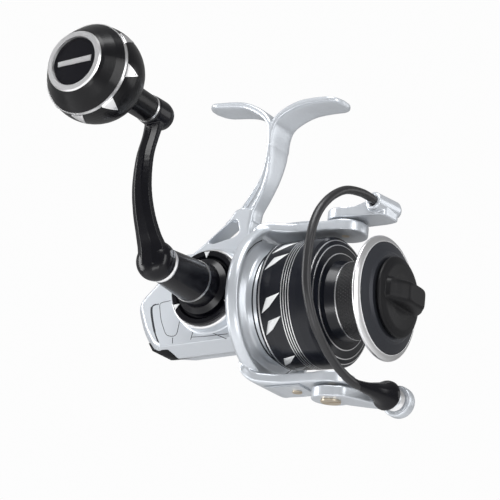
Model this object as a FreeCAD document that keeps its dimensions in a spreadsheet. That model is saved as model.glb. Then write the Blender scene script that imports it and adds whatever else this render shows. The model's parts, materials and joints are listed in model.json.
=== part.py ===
"""Spinning reel: body with rod foot, crank handle, rotor with bail, and oscillating spool.

Row frame: origin on the plane of the rod seat at mid foot, +X towards the front of the
spool, +Z from the spool up to the foot, handle on the -Y side. Each piece is drawn in the
reel's own axis frame, whose X axis is the main shaft and whose origin is below the crank.
"""
import FreeCAD, Part
import math
import os
import Sketcher
from FreeCAD import Placement, Rotation, Vector

DIMENSIONS = {
    # reel axes, in the row frame
    "axis_drop": 85.5,        # rod seat down to the main shaft
    "crank_back": 14.0,       # crank axis behind mid foot
    "crank_rise": 4.2,        # crank axis above the main shaft
    "crank_length": 58.2,     # crank axis to handle knob axis
    "crank_lean": 4.1,        # degrees the stored crank leans back
    # foot and stem
    "foot_rear": 30.5,
    "foot_front": 31.5,
    "foot_width": 14.4,
    "foot_thick": 2.2,
    "foot_tilt": 4.3,
    # housing
    "body_near": 12.0,
    "body_far": 9.5,
    "cover_thick": 3.0,
    "boss_radius": 15.8,
    "boss_face": 16.5,
    "cavity_near": 10.0,
    "nose_radius": 12.6,
    "nose_front": 24.4,
    "front_face": 17.4,
    "wall": 1.6,
    "bumper_deep": 0.9,
    "screw_radius": 0.9,
    # shafts and bearings
    "shaft_radius": 1.5,
    "shaft_rear": 26.2,
    "shaft_front": 80.0,
    "crank_radius": 2.3,
    "pinion_bore": 1.6,
    "pinion_journal": 3.0,
    "bearing_radius": 6.5,
    "running": 0.05,          # radial clearance of every running fit
    # gears
    "pinion_teeth": 7,
    "drive_teeth": 37,
    "mesh_radius": 2.6,
    "tooth_height": 0.45,
    "cam_small_teeth": 12,
    "cam_large_teeth": 24,
    "cam_module": 0.75,
    "cam_throw": 5.75,
    "cam_axle": 1.5,
    "guide_drop": 6.0,
    # spool
    "skirt_rear": 28.3,
    "skirt_front": 50.6,
    "skirt_radius": 25.2,
    "arbor_radius": 14.9,
    "lip_radius": 24.0,
    "lip_rear": 68.4,
    "lip_front": 72.0,
    "drag_bore": 12.2,
    # drag knob
    "knob_rear": 75.0,
    "knob_front": 84.6,
    "knob_radius": 15.6,
    "bar_thick": 9.4,
    # rotor and bail
    "rotor_rear": 17.2,
    "rotor_radius": 31.5,
    "arm_top": 31.0,
    "arm_low": 33.6,
    "arm_thick": 4.4,
    "arm_half": 8.6,
    "pivot_front": 50.6,
    "bail_gap": 1.0,
    "wire_arm_high": 39.4,
    "wire_eye_high": 36.2,
    "roller_arm_high": 38.9,
    "wire_radius": 1.7,
    "wire_yaw": 7.8,
    "wire_tilt": 4.3,
    "wire_top": 37.0,
    "wire_front": 69.8,
    "roller_front": 71.6,
    "roller_side": 8.8,
    "roller_drop": 36.6,
    "roller_radius": 3.9,
    # crank arm and knob
    "hub_radius": 8.3,
    "hub_inner": 26.9,
    "hub_outer": 47.2,
    "ball_radius": 18.4,
    "ball_centre": 97.0,
    "post_radius": 3.0,
}


class Size:
    """A length that carries both its sheet expression and its present value."""

    def __init__(self, text, value):
        self.text = text
        self.value = value

    def joined(self, other, sign, value):
        text = other.text if isinstance(other, Size) else repr(other)
        return Size("(%s %s %s)" % (self.text, sign, text), value)

    def __add__(self, other):
        return self.joined(other, "+", self.value + number(other))

    def __sub__(self, other):
        return self.joined(other, "-", self.value - number(other))

    def __mul__(self, other):
        return self.joined(other, "*", self.value * number(other))

    def __rmul__(self, other):
        return self * other

    def __truediv__(self, other):
        return self.joined(other, "/", self.value / number(other))

    def __neg__(self):
        return Size("(0 - %s)" % self.text, -self.value)


def number(size):
    return size.value if isinstance(size, Size) else size


def bind(thing, prop, size):
    """Set a property of a document object to a size, or to a plain number."""
    if isinstance(size, Size):
        thing.setExpression(prop, size.text)
    else:
        thing.setExpression(prop, repr(float(size)))


doc = FreeCAD.newDocument("spinning_reel")
sheet = doc.addObject("Spreadsheet::Sheet", "Sizes")


class Sizes:
    """The sheet's sizes by name."""


S = Sizes()
for row, (alias, value) in enumerate(DIMENSIONS.items(), start=1):
    sheet.set("A%d" % row, alias)
    sheet.set("B%d" % row, repr(value))
    sheet.setAlias("B%d" % row, alias)
    setattr(S, alias, Size("Sizes." + alias, value))
doc.recompute()

NODES = []


def node(thing, label, spin=None, about_crank=False, shift=(0, 0, 0)):
    """Name a sub-part and place it: the reel's axis frame, or the leaning crank's frame."""
    thing.Label = label
    if about_crank:
        lean = Rotation(Vector(0, 1, 0), -number(S.crank_lean))
        thing.Placement = Placement(Vector(0, 0, 0), lean)
        rise = S.crank_rise + shift[2]
    else:
        thing.Placement = Placement(Vector(0, 0, 0), spin or Rotation())
        rise = Size(repr(float(number(shift[2]))), number(shift[2]))
    bind(thing, ".Placement.Base.x", -S.crank_back + shift[0])
    bind(thing, ".Placement.Base.y", Size("1", 1) * shift[1])
    bind(thing, ".Placement.Base.z", rise - S.axis_drop)
    NODES.append(thing)
    return thing


# ---------------------------------------------------------------- sketches and features

def origin_plane(body, role):
    return [item for item in body.Origin.OriginFeatures if item.Role == role][0]


def sketch(body, role, offset=0.0):
    """An empty sketch on one of the body's origin planes, moved along the plane's normal."""
    drawing = body.newObject("Sketcher::SketchObject", "Sketch")
    drawing.AttachmentSupport = [(origin_plane(body, role), "")]
    drawing.MapMode = "FlatFace"
    bind(drawing, ".AttachmentOffset.Base.z", offset)
    return drawing


def outline(drawing, points):
    """A closed outline of straight sides whose corners are bound to their sizes."""
    first = drawing.GeometryCount
    count = len(points)
    flat = [Vector(number(a), number(b), 0) for a, b in points]
    for i in range(count):
        drawing.addGeometry(Part.LineSegment(flat[i], flat[(i + 1) % count]), False)
    for i in range(count):
        ahead = first + (i + 1) % count
        drawing.addConstraint(Sketcher.Constraint("Coincident", first + i, 2, ahead, 1))
    for i, corner in enumerate(points):
        for kind, size in zip(("DistanceX", "DistanceY"), corner):
            rule = Sketcher.Constraint(kind, -1, 1, first + i, 1, number(size))
            index = drawing.addConstraint(rule)
            bind(drawing, "Constraints[%d]" % index, size)


def circle(drawing, across, up, radius):
    """A circle in a sketch, bound to its centre and radius."""
    centre = Vector(number(across), number(up), 0)
    ring = drawing.addGeometry(Part.Circle(centre, Vector(0, 0, 1), number(radius)), False)
    rules = (("DistanceX", across), ("DistanceY", up))
    for kind, size in rules:
        rule = Sketcher.Constraint(kind, -1, 1, ring, 3, number(size))
        bind(drawing, "Constraints[%d]" % drawing.addConstraint(rule), size)
    rule = Sketcher.Constraint("Radius", ring, number(radius))
    bind(drawing, "Constraints[%d]" % drawing.addConstraint(rule), radius)


TURNING = {"X": ("XZ_Plane", "H_Axis"), "Y": ("XY_Plane", "V_Axis"), "Z": ("XZ_Plane", "V_Axis")}


def revolve(body, profile, axis):
    """Turn a profile of (along the axis, radius) corners about X, Y or Z."""
    role, reference = TURNING[axis]
    drawing = sketch(body, role)
    corners = profile if axis == "X" else [(radius, along) for along, radius in profile]
    outline(drawing, corners)
    made = body.newObject("PartDesign::Revolution", "Turned")
    made.Profile = drawing
    made.ReferenceAxis = (drawing, [reference])
    made.Angle = 360


def turned(label, axis, profile, **where):
    body = doc.addObject("PartDesign::Body", label)
    revolve(body, profile, axis)
    return node(body, label, **where)


def collar(label, axis, start, end, inner, outer, **where):
    """A plain ring from start to end along its axis."""
    profile = [(start, inner), (start, outer), (end, outer), (end, inner)]
    return turned(label, axis, profile, **where)


def pad(body, role, points, start, length, midplane=False, kind="PartDesign::Pad"):
    """Pad an outline from an offset along the plane's normal; XZ planes face -Y."""
    drawing = sketch(body, role, start)
    if callable(points):
        points(drawing)
    else:
        outline(drawing, points)
    made = body.newObject(kind, "Padded")
    made.Profile = drawing
    bind(made, "Length", length)
    made.Midplane = midplane
    if kind == "PartDesign::Pocket":
        made.Reversed = True
    return made


def pocket(body, role, points, start, length):
    """Cut an outline from an offset along the plane's normal, and check that it cut."""
    doc.recompute()
    before = body.Shape.Volume
    made = pad(body, role, points, start, length, kind="PartDesign::Pocket")
    doc.recompute()
    if not body.Shape.Volume < before - 0.01:
        raise RuntimeError("a pocket in %s cuts nothing" % body.Label)
    return made


def round_hole(across, up, radius):
    return lambda drawing: circle(drawing, across, up, radius)


def round_holes(spots, radius):
    return lambda drawing: [circle(drawing, across, up, radius) for across, up in spots]


def group(label, pieces, **where):
    """Identical pieces that share a node, as separate solids."""
    joined = doc.addObject("Part::Compound", label)
    joined.Links = pieces
    return node(joined, label, **where)


def rod(start, end, radius, centre=(0, 0), axis="X"):
    """A plain cylinder along an axis, bound to its ends and radius."""
    piece = doc.addObject("Part::Cylinder", "Rod")
    turn = {"X": Rotation(Vector(0, 1, 0), 90), "Y": Rotation(Vector(1, 0, 0), -90),
            "Z": Rotation()}[axis]
    piece.Placement = Placement(Vector(0, 0, 0), turn)
    bind(piece, "Radius", radius)
    bind(piece, "Height", Size("1", 1) * end - start)
    names = {"X": ("x", "y", "z"), "Y": ("y", "x", "z"), "Z": ("z", "x", "y")}[axis]
    for name, size in zip(names, (start, centre[0], centre[1])):
        bind(piece, ".Placement.Base." + name, size)
    return piece


def tube(axis, start, end, inner, outer):
    """A plain ring made of two cylinders, for pieces that share a node."""
    core = rod(start - 1.0, end + 1.0, inner, axis=axis)
    return join(rod(start, end, outer, axis=axis), core, "Cut")


def join(base, tool, kind):
    made = doc.addObject("Part::" + kind, kind)
    made.Base = base
    made.Tool = tool
    return made


def screw(axis, seat, height, head, shank, depth, centre):
    """A slotted screw: head from its seat outwards, shank inwards; height has the sign."""
    outward = 1 if number(height) > 0 else -1
    top = Size("1", 1) * seat + height
    inner = Size("1", 1) * seat - Size("1", 1) * depth * outward
    low, high = (seat, top) if outward > 0 else (top, seat)
    cap = rod(low, high, head, centre, axis)
    low, high = (inner, seat) if outward > 0 else (seat, inner)
    stem = rod(low, high, shank, centre, axis)
    slot = doc.addObject("Part::Box", "Slot")
    deep = abs(number(height)) * 0.5
    long = number(head) * 3
    spans = {"X": (deep, 0.5, long), "Y": (long, deep, 0.5), "Z": (long, 0.5, deep)}[axis]
    slot.Length, slot.Width, slot.Height = spans
    edge = number(top) - (deep if outward > 0 else 0)
    a, b = number(centre[0]), number(centre[1])
    corner = {"X": (edge, a - 0.25, b - long / 2), "Y": (a - long / 2, edge, b - 0.25),
              "Z": (a - long / 2, b - 0.25, edge)}[axis]
    slot.Placement = Placement(Vector(*corner), Rotation())
    return join(join(cap, stem, "Fuse"), slot, "Cut")


def feature(label, shape, **where):
    """A sub-part whose shape is worked out in code from the sheet's sizes."""
    piece = doc.addObject("Part::Feature", label)
    piece.Shape = shape
    return node(piece, label, **where)


# ------------------------------------------------------------------------------- housing

def lower_body(inset=0.0):
    """Side outline of the gear case, as corners in the axis frame, moved inwards by inset."""
    corners = [(15.4, -16.4), (12.8, -18.2), (-21.5, -19.4), (-27.6, -17.0), (-33.0, -9.0),
               (-37.0, 0.5), (-36.4, 4.5), (-29.0, 11.5), (-19.5, 22.5), (8.5, 22.5),
               (12.5, 20.6), (17.4, 17.0), (17.4, -13.0)]
    if not inset:
        return corners
    wire = Part.makePolygon([Vector(a, 0, b) for a, b in corners + corners[:1]])
    inner = Part.Face(wire).makeOffset2D(-inset, join=2)
    return [(v.X, v.Z) for v in inner.OuterWire.OrderedVertexes]


def stem_section(back, front, half, height):
    """A rounded plan section of the stem at a height in the axis frame."""
    corners = [Vector(back, -half, height), Vector(front, -half, height),
               Vector(front, half, height), Vector(back, half, height)]
    wire = Part.makePolygon(corners + corners[:1])
    radius = min(front - back, 2 * half) * 0.3
    return Part.Face(wire).makeOffset2D(-radius).makeOffset2D(radius).OuterWire


def stem_and_foot():
    """The stem's loft, its open triangular base and the tilted foot with its valley."""
    drop = number(S.axis_drop)
    back = number(S.crank_back)
    half = number(S.foot_width) / 2
    base = [(-24.0, 18.0), (-20.5, 21.8), (-12.6, 28.0), (-2.2, 36.4), (1.5, 40.5), (9.6, 40.5),
            (8.4, 33.0), (10.0, 26.0), (13.5, 18.0)]
    window = [(-10.5, 28.2), (1.0, 37.2), (2.9, 37.0), (4.4, 31.0), (2.0, 29.6), (-8.0, 27.6)]
    side = Part.Face(Part.makePolygon([Vector(a, 0, b) for a, b in base + base[:1]]))
    hole = Part.Face(Part.makePolygon([Vector(a, 0, b) for a, b in window + window[:1]]))
    foundation = side.cut(hole).extrude(Vector(0, 8.0, 0)).translated(Vector(0, -4.0, 0))
    sections = [stem_section(1.5, 9.6, 4.0, 40.4), stem_section(6.7, 12.6, 4.0, 47.0),
                stem_section(11.6, 15.2, 4.8, 54.5), stem_section(13.8, 16.6, 6.6, 63.0),
                stem_section(14.0, 16.6, half, 72.5), stem_section(13.4, 17.6, half, 78.0)]
    stem = Part.makeLoft(sections, True, False)
    tilt = math.tan(math.radians(number(S.foot_tilt)))
    thick = number(S.foot_thick)
    rear = -number(S.foot_rear)
    front = number(S.foot_front)
    top = [(rear, -rear * tilt - 0.6), (rear + 2, -(rear + 2) * tilt), (-11.0, 11.0 * tilt),
           (-3.0, -4.6), (4.0, -5.0), (14.5, -14.5 * tilt), (front - 2, -(front - 2) * tilt),
           (front, -front * tilt - 0.6)]
    under = [(front, -front * tilt - thick + 0.3), (16.0, -16.0 * tilt - thick - 0.8),
             (10.5, -6.6), (5.5, -9.0), (3.2, -13.0), (-0.2, -13.0), (-2.8, -8.6),
             (-7.0, -5.2), (-12.5, 12.5 * tilt - thick - 0.6), (rear, -rear * tilt - thick + 0.2)]
    profile = [Vector(a + back, -half, b + drop) for a, b in top + under]
    plate = Part.Face(Part.makePolygon(profile + profile[:1])).extrude(Vector(0, 2 * half, 0))
    plan = Part.makeBox(front - rear, 2 * half, 24.0, Vector(rear + back, -half, drop - 18.0))
    upright = [edge for edge in plan.Edges
               if abs(edge.Vertexes[0].Z - edge.Vertexes[-1].Z) > 1]
    plan = plan.makeFillet(half * 0.62, upright)
    return foundation, stem, plate.common(plan)


def solid_outline(corners, low, high):
    """A prism across Y from low to high, from corners in the side view."""
    face = Part.Face(Part.makePolygon([Vector(a, low, b) for a, b in corners + corners[:1]]))
    return face.extrude(Vector(0, high - low, 0))


def drum(axis, start, end, radius, centre=(0, 0)):
    """A plain solid cylinder, given by its ends along X or Y."""
    if axis == "X":
        base, way = Vector(start, centre[0], centre[1]), Vector(1, 0, 0)
    else:
        base, way = Vector(centre[0], start, centre[1]), Vector(0, 1, 0)
    return Part.makeCylinder(radius, end - start, base, way)


def below_keel(rise):
    """The space below the case's V-shaped bottom, whose ridge drops to the rear."""
    ridge = -19.56 + rise
    corners = [(-20.0, ridge + 3.96), (-2.0, ridge), (20.0, ridge + 7.13), (20.0, ridge - 9.0),
               (-20.0, ridge - 9.0)]
    wire = Part.makePolygon([Vector(-40.0, a, b) for a, b in corners + corners[:1]])
    return Part.Face(wire).extrude(Vector(60.0, 0, 2.89))


def gear_case():
    """Outside of the gear case: a prism with a chamfered near rim and a keeled bottom."""
    near = number(S.body_near)
    case = solid_outline(lower_body(), -near, number(S.body_far))
    rims = [edge for edge in case.Edges
            if abs(edge.CenterOfMass.y + near) < 0.01 and edge.CenterOfMass.x < 15]
    return case.makeChamfer(2.6, rims).cut(below_keel(0.0))


def bumper_shape():
    """The shoe let into the lower rear corner of the case, flush with its outside."""
    deep = number(S.bumper_deep)
    corner = Part.makeBox(19.0, 17.5, 12.0, Vector(-33.0, -9.3, -25.6))
    inner = solid_outline(lower_body(deep), -20.0, 20.0).cut(below_keel(deep))
    return gear_case().common(corner).cut(inner)


def housing_shape():
    """One die-cast piece: gear case, nose, stem and foot."""
    near = number(S.body_near)
    far = number(S.body_far)
    rise = number(S.crank_rise)
    wall = number(S.wall)
    front = number(S.front_face)
    shell = gear_case().cut(bumper_shape())
    for piece in stem_and_foot():
        shell = shell.fuse(piece)
    shell = shell.fuse(drum("Y", -number(S.boss_face), -near, number(S.boss_radius), (0, rise)))
    shell = shell.fuse(drum("X", front, number(S.nose_front), number(S.nose_radius)))
    cavity = solid_outline(lower_body(wall + 0.4), -number(S.cavity_near), far + 1)
    cavity = cavity.cut(below_keel(wall + 0.1))
    front_room = solid_outline([(-40, -12), (16.0, -12), (16.0, 20.2), (-40, 20.2)],
                               -number(S.cavity_near), far + 1)
    gear_room = drum("Y", 1.9, far + 1, 16.1, (0, rise)).common(front_room)
    cavity = cavity.fuse(gear_room)
    shell = shell.cut(cavity)
    bearing = number(S.bearing_radius)
    cradle = Part.makeBox(2.9, 12.4, 9.4, Vector(5.8, -number(S.cavity_near) - 0.5, -6.0))
    shell = shell.fuse(cradle)
    cutters = [drum("X", 5.0, 9.0, 4.4), drum("X", 16.2, 19.2, bearing),
               drum("X", 15.0, 16.3, 4.6), drum("X", 19.4, number(S.nose_front) + 1, 11.0),
               drum("X", 19.1, 19.5, 5.6),
               drum("Y", -14.0, -number(S.cavity_near) + 1, bearing, (0, rise)),
               drum("Y", -17.0, -13.9, 4.0, (0, rise)),
               drum("X", -34.0, 15.9, 1.0, (0, -number(S.guide_drop)))]
    for cutter in cutters:
        shell = shell.cut(cutter)
    axle = drum("Y", -number(S.cavity_near) - 0.5, -6.1, number(S.cam_axle), CAM_CENTRE)
    shell = shell.fuse(axle)
    for spot in COVER_SCREWS:
        shell = shell.fuse(drum("Y", far - 4.0, far, 1.7, spot))
        shell = shell.cut(drum("Y", far - 2.6, far, number(S.screw_radius), spot))
    return shell.removeSplitter()


def side_cover():
    """The plate that closes the gear case on the far side, with its bearing boss."""
    body = doc.addObject("PartDesign::Body", "side_cover")
    low_edge = [(15.4, -12.9), (4.9, -13.6), (-21.5, -14.9), (-30.0, -14.0)]
    pad(body, "XZ_Plane", low_edge + lower_body()[4:], -(S.body_far + S.cover_thick),
        S.cover_thick)
    pad(body, "XZ_Plane", round_hole(0.0, S.crank_rise, 10.0),
        -(S.body_far + S.cover_thick + 2.0), 2.5)
    pocket(body, "XZ_Plane", round_hole(0.0, S.crank_rise, S.bearing_radius),
           -(S.body_far + 3.6), 4.0)
    pocket(body, "XZ_Plane", round_hole(0.0, S.crank_rise, 4.6), -(S.body_far + 6.0), 3.0)
    pocket(body, "XZ_Plane", round_holes(COVER_SCREWS, S.screw_radius),
           -(S.body_far + S.cover_thick + 0.5), S.cover_thick + 1.0)
    node(body, "side_cover")


COVER_SCREWS = [(-33.9, 1.6), (-21.0, -12.6), (11.0, -11.2), (-17.0, 19.0), (11.0, 18.2)]


COVER_RING = [(9.0 * math.cos(turn), 9.0 * math.sin(turn))
              for turn in [math.radians(30 + 120 * i) for i in range(3)]]


def case_fasteners():
    face = S.body_far + S.cover_thick
    pieces = [screw("Y", face, Size("1.1", 1.1), 1.9, S.screw_radius, 5.6, spot)
              for spot in COVER_SCREWS]
    group("side_cover_screws", pieces)
    front = S.nose_front + 0.9
    pieces = [screw("X", front, Size("0.5", 0.5), 1.1, 0.5, 0.9, spot) for spot in COVER_RING]
    group("clutch_cover_screws", pieces)


def body_pieces():
    feature("housing", housing_shape())
    side_cover()
    case_fasteners()
    rise = (0, 0, S.crank_rise)
    feature("rear_bumper", bumper_shape())
    rings = [tube("Y", start, start + 2.9, S.crank_radius + S.running, S.bearing_radius)
             for start in (Size("-13.8", -13.8), S.body_far + 0.6)]
    group("crank_bearings", rings, shift=rise)
    face = -S.boss_face
    turned("bearing_cap", "Y", [(face, 9.4), (face, 15.1), (face - 1.8, 15.1), (face - 2.3, 14.6),
                                (face - 2.3, 12.9), (face - 1.3, 12.0), (face - 1.3, 9.4)],
           shift=rise)
    cap = S.body_far + S.cover_thick + 2.0
    turned("shaft_cap", "Y", [(cap - 1.4, 0.0), (cap - 1.4, 4.5), (cap, 4.5), (cap, 8.4),
                              (cap + 1.6, 7.8), (cap + 2.2, 6.2), (cap + 2.2, 0.0)], shift=rise)
    collar("pinion_rear_bearing", "X", 6.0, 8.5, 2.25, 4.4)
    collar("pinion_front_bearing", "X", 16.3, 19.1, S.pinion_journal + S.running,
           S.bearing_radius)
    nose = S.nose_front
    turned("clutch_housing", "X", [(19.6, 7.4), (19.6, 10.9), (nose, 10.9), (nose, 7.4)])
    rollers = []
    for index in range(6):
        turn = math.radians(60 * index)
        spot = (5.75 * math.cos(turn), 5.75 * math.sin(turn))
        rollers.append(rod(20.0, nose - 0.3, 1.2, spot))
    group("clutch_rollers", rollers)
    cover = collar("clutch_cover", "X", nose, nose + 0.9, 5.3, S.nose_radius)
    pocket(cover, "YZ_Plane", round_holes(COVER_RING, 0.5), nose - 0.5, 2.0)
    guide = rod(-33.9, 15.8, 1.0, (0.0, -S.guide_drop))
    group("guide_rod", [guide])


# --------------------------------------------------------------------- handle and gear train

def spur_teeth(teeth, root, tip, base_half, tip_half, start, depth, phase):
    """Tapered teeth standing on a round root, as one ring of prisms across Y."""
    made = []
    for index in range(teeth):
        turn = phase + 2 * math.pi * index / teeth
        out = Vector(math.cos(turn), 0, math.sin(turn))
        side = Vector(-math.sin(turn), 0, math.cos(turn))
        inner = out * (root - 0.3)
        corners = [inner - side * base_half, out * tip - side * tip_half,
                   out * tip + side * tip_half, inner + side * base_half]
        wire = Part.makePolygon(corners + corners[:1])
        prism = Part.Face(wire).extrude(Vector(0, depth, 0))
        made.append(prism.translated(Vector(0, start, 0)))
    return made


def drive_gear():
    """Crown gear: a dished disc whose teeth face the pinion, skewed to suit its offset."""
    mesh = number(S.mesh_radius)
    high = number(S.tooth_height)
    offset = number(S.crank_rise)
    contact = mesh * number(S.drive_teeth) / number(S.pinion_teeth)
    tip = mesh - high + 0.05
    root = mesh + high + 0.15
    inner, outer = contact - 1.3, contact + 1.3
    small = math.hypot(inner, offset) - 0.5
    big = math.hypot(outer, offset)
    blank = drum("Y", root, root + 2.6, big + 0.3).cut(drum("Y", root, root + 1.9, small))
    blank = blank.fuse(drum("Y", root + 1.9, root + 5.2, 4.0))
    teeth = []
    step = 360.0 / number(S.drive_teeth)
    for index in range(number(S.drive_teeth)):
        base, crest = 0.46, 0.24
        wire = Part.makePolygon([Vector(inner, root + 0.2, base), Vector(inner, root, base),
                                 Vector(inner, tip, crest), Vector(inner, tip, -crest),
                                 Vector(inner, root, -base), Vector(inner, root + 0.2, -base),
                                 Vector(inner, root + 0.2, base)])
        tooth = Part.Face(wire).extrude(Vector(outer - inner, 0, 0))
        tooth.translate(Vector(0, 0, -offset))
        tooth.rotate(Vector(0, 0, 0), Vector(0, 1, 0), step * (index + 0.5))
        teeth.append(tooth)
    shape = blank.multiFuse(teeth)
    bore = drum("Y", 0, 12, number(S.crank_radius))
    feature("drive_gear", shape.cut(bore).removeSplitter(), shift=(0, 0, S.crank_rise))


def pinion_gear():
    """Hollow pinion: rear journal, teeth, and the long front journal that carries the rotor."""
    mesh = number(S.mesh_radius)
    high = number(S.tooth_height)
    contact = mesh * number(S.drive_teeth) / number(S.pinion_teeth)
    teeth = number(S.pinion_teeth)
    journal = number(S.pinion_journal)
    shape = drum("X", 5.6, contact + 1.9, mesh - high)
    shape = shape.fuse(drum("X", 5.6, 9.2, 2.2))
    shape = shape.fuse(drum("X", contact + 1.9, 31.6, journal))
    made = []
    for index in range(teeth):
        turn = 2 * math.pi * index / teeth
        out = Vector(0, math.cos(turn), math.sin(turn))
        side = Vector(0, -out.z, out.y)
        inner = out * (mesh - high - 0.2)
        crest = out * (mesh + high)
        start = Vector(contact - 1.9, 0, 0)
        corners = [start + inner - side * 0.5, start + crest - side * 0.22,
                   start + crest + side * 0.22, start + inner + side * 0.5]
        wire = Part.makePolygon(corners + corners[:1])
        made.append(Part.Face(wire).extrude(Vector(3.8, 0, 0)))
    shape = shape.multiFuse(made).cut(drum("X", 0, 40, number(S.pinion_bore)))
    feature("pinion_gear", shape.removeSplitter())


CAM_CENTRE = (-13.1, 1.0)


def cam_gears():
    """The small gear on the crank and the large one whose pin drives the slider."""
    module = number(S.cam_module)
    reach = math.atan2(CAM_CENTRE[1] - number(S.crank_rise), CAM_CENTRE[0])
    pitch = module * number(S.cam_small_teeth) / 2
    shape = drum("Y", -8.0, -5.6, pitch - 1.2 * module)
    half = math.pi / number(S.cam_small_teeth)
    shape = shape.multiFuse(spur_teeth(number(S.cam_small_teeth), pitch - 1.2 * module,
                                       pitch + 0.8 * module, 0.62, 0.25, -8.0, 2.4,
                                       reach + half))
    shape = shape.cut(drum("Y", -9, -5, number(S.crank_radius)))
    feature("cam_drive_gear", shape.removeSplitter(), shift=(0, 0, S.crank_rise))
    pitch = module * number(S.cam_large_teeth) / 2
    shape = drum("Y", -8.0, -6.2, pitch - 1.2 * module)
    shape = shape.multiFuse(spur_teeth(number(S.cam_large_teeth), pitch - 1.2 * module,
                                       pitch + 0.8 * module, 0.62, 0.25, -8.0, 1.8,
                                       reach + math.pi))
    throw = number(S.cam_throw)
    rest = math.acos(0.25 / throw)
    pin = (throw * math.cos(rest), throw * math.sin(rest))
    shape = shape.fuse(drum("Y", -6.4, -4.9, 1.2, pin))
    shape = shape.cut(drum("Y", -9, -5, number(S.cam_axle) + number(S.running)))
    feature("oscillation_gear", shape.removeSplitter(), shift=(CAM_CENTRE[0], 0, CAM_CENTRE[1]))


def crank_arm():
    """The bowed arm: a side outline given by its centre line and width, tapered in thickness."""
    reach = number(S.crank_length)
    stations = [(-52.8, -4.0, 8.6, 12.6), (-53.6, 3.5, 9.0, 11.6), (-57.8, 8.8, 7.4, 9.8),
                (-61.6, 16.5, 6.0, 8.6), (-63.6, 26.0, 5.4, 7.8), (-62.6, 38.0, 5.2, 7.0),
                (-58.8, 48.5, 5.6, 7.0), (-56.4, reach - 1.5, 9.0, 8.4)]
    sections = []
    for side, up, deep, wide in stations:
        corners = []
        for index in range(8):
            turn = math.radians(22.5 + 45 * index)
            corners.append(Vector(wide / 2 * math.cos(turn) * 1.08,
                                  side + deep / 2 * math.sin(turn) * 1.08, up))
        sections.append(Part.makePolygon(corners + corners[:1]))
    arm = Part.makeLoft(sections, True, True)
    hub = number(S.hub_outer)
    base = drum("Y", -hub - 9.6, -hub - 0.8, 7.6)
    base = base.makeChamfer(2.2, [base.Edges[2]])
    boss = drum("Y", -62.4, -50.6, 5.7, (0, reach))
    shape = arm.fuse(base).fuse(boss)
    bore = drum("Y", -hub - 4.0, -hub, number(S.crank_radius))
    post = drum("Y", -63, -54.0, number(S.post_radius), (0, reach))
    shank = drum("X", 4.9, 7.0, 0.8, (-hub - 4.6, 1.5))
    head = drum("X", 6.9, 9.0, 1.6, (-hub - 4.6, 1.5))
    return shape.cut(bore).cut(post).cut(shank).cut(head)


def handle_pieces():
    drive_gear()
    crank = {"about_crank": True}
    hub, bore = S.hub_outer, S.crank_radius
    shaft = doc.addObject("PartDesign::Body", "drive_shaft")
    revolve(shaft, [(S.body_far + 3.5, 0.0), (S.body_far + 3.5, bore), (-hub - 4.0, bore),
                    (-hub - 4.0, 0.0)], "Y")
    node(shaft, "drive_shaft", **crank)
    inner = S.hub_inner
    turned("hub", "Y", [(-16.9, bore), (-16.9, 8.6), (-18.1, 8.8), (-18.9, 11.2), (-19.8, 11.2),
                        (-21.4, 9.2),
                        (-(inner - 0.4), 8.5), (-(inner - 0.4), 7.4), (-(inner + 0.4), 7.4),
                        (-(inner + 0.4), S.hub_radius), (-(hub - 0.6), 6.8), (-(hub - 0.6), bore)],
           **crank)
    collar("hub_ring_inner", "Y", -(inner + 0.4), -(inner - 0.4), 7.4, S.hub_radius + 0.2, **crank)
    turned("hub_ring_outer", "Y", [(-(hub + 0.8), bore), (-(hub + 0.8), 6.6), (-hub, 7.0),
                                   (-(hub - 0.6), 6.9), (-(hub - 0.6), bore)], **crank)
    feature("crank_arm", crank_arm(), **crank)
    group("arm_screw", [screw("X", Size("6.9", 6.9), Size("1.0", 1.0), 1.6, 0.8, 2.0,
                              (-(hub + 4.6), 1.5))], **crank)
    post = doc.addObject("PartDesign::Body", "knob_post")
    revolve(post, [(-54.0, 0.0), (-54.0, S.post_radius), (-66.0, S.post_radius), (-66.0, 2.2),
                   (-105.5, 2.2), (-105.5, 0.0)], "Y")
    node(post, "knob_post", about_crank=True)
    on_knob_axis(post)
    on_knob_axis(collar("post_ring", "Y", -63.4, -62.4, S.post_radius, 5.5, about_crank=True))


# ----------------------------------------------------------------------------- handle knob

def on_knob_axis(thing):
    """Move a piece drawn about Y out to the handle knob's axis."""
    lean = math.radians(number(S.crank_lean))
    bind(thing, ".Placement.Base.x", -S.crank_back - S.crank_length * math.sin(lean))
    bind(thing, ".Placement.Base.z", S.crank_rise + S.crank_length * math.cos(lean) - S.axis_drop)


def ball(start, end, steps):
    """Corners along the ball's outline between two places on its axis."""
    radius, centre = number(S.ball_radius), number(S.ball_centre)
    corners = []
    for index in range(steps + 1):
        along = start + (end - start) * index / steps
        corners.append((-(centre + along), math.sqrt(radius ** 2 - along ** 2)))
    return corners


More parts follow.
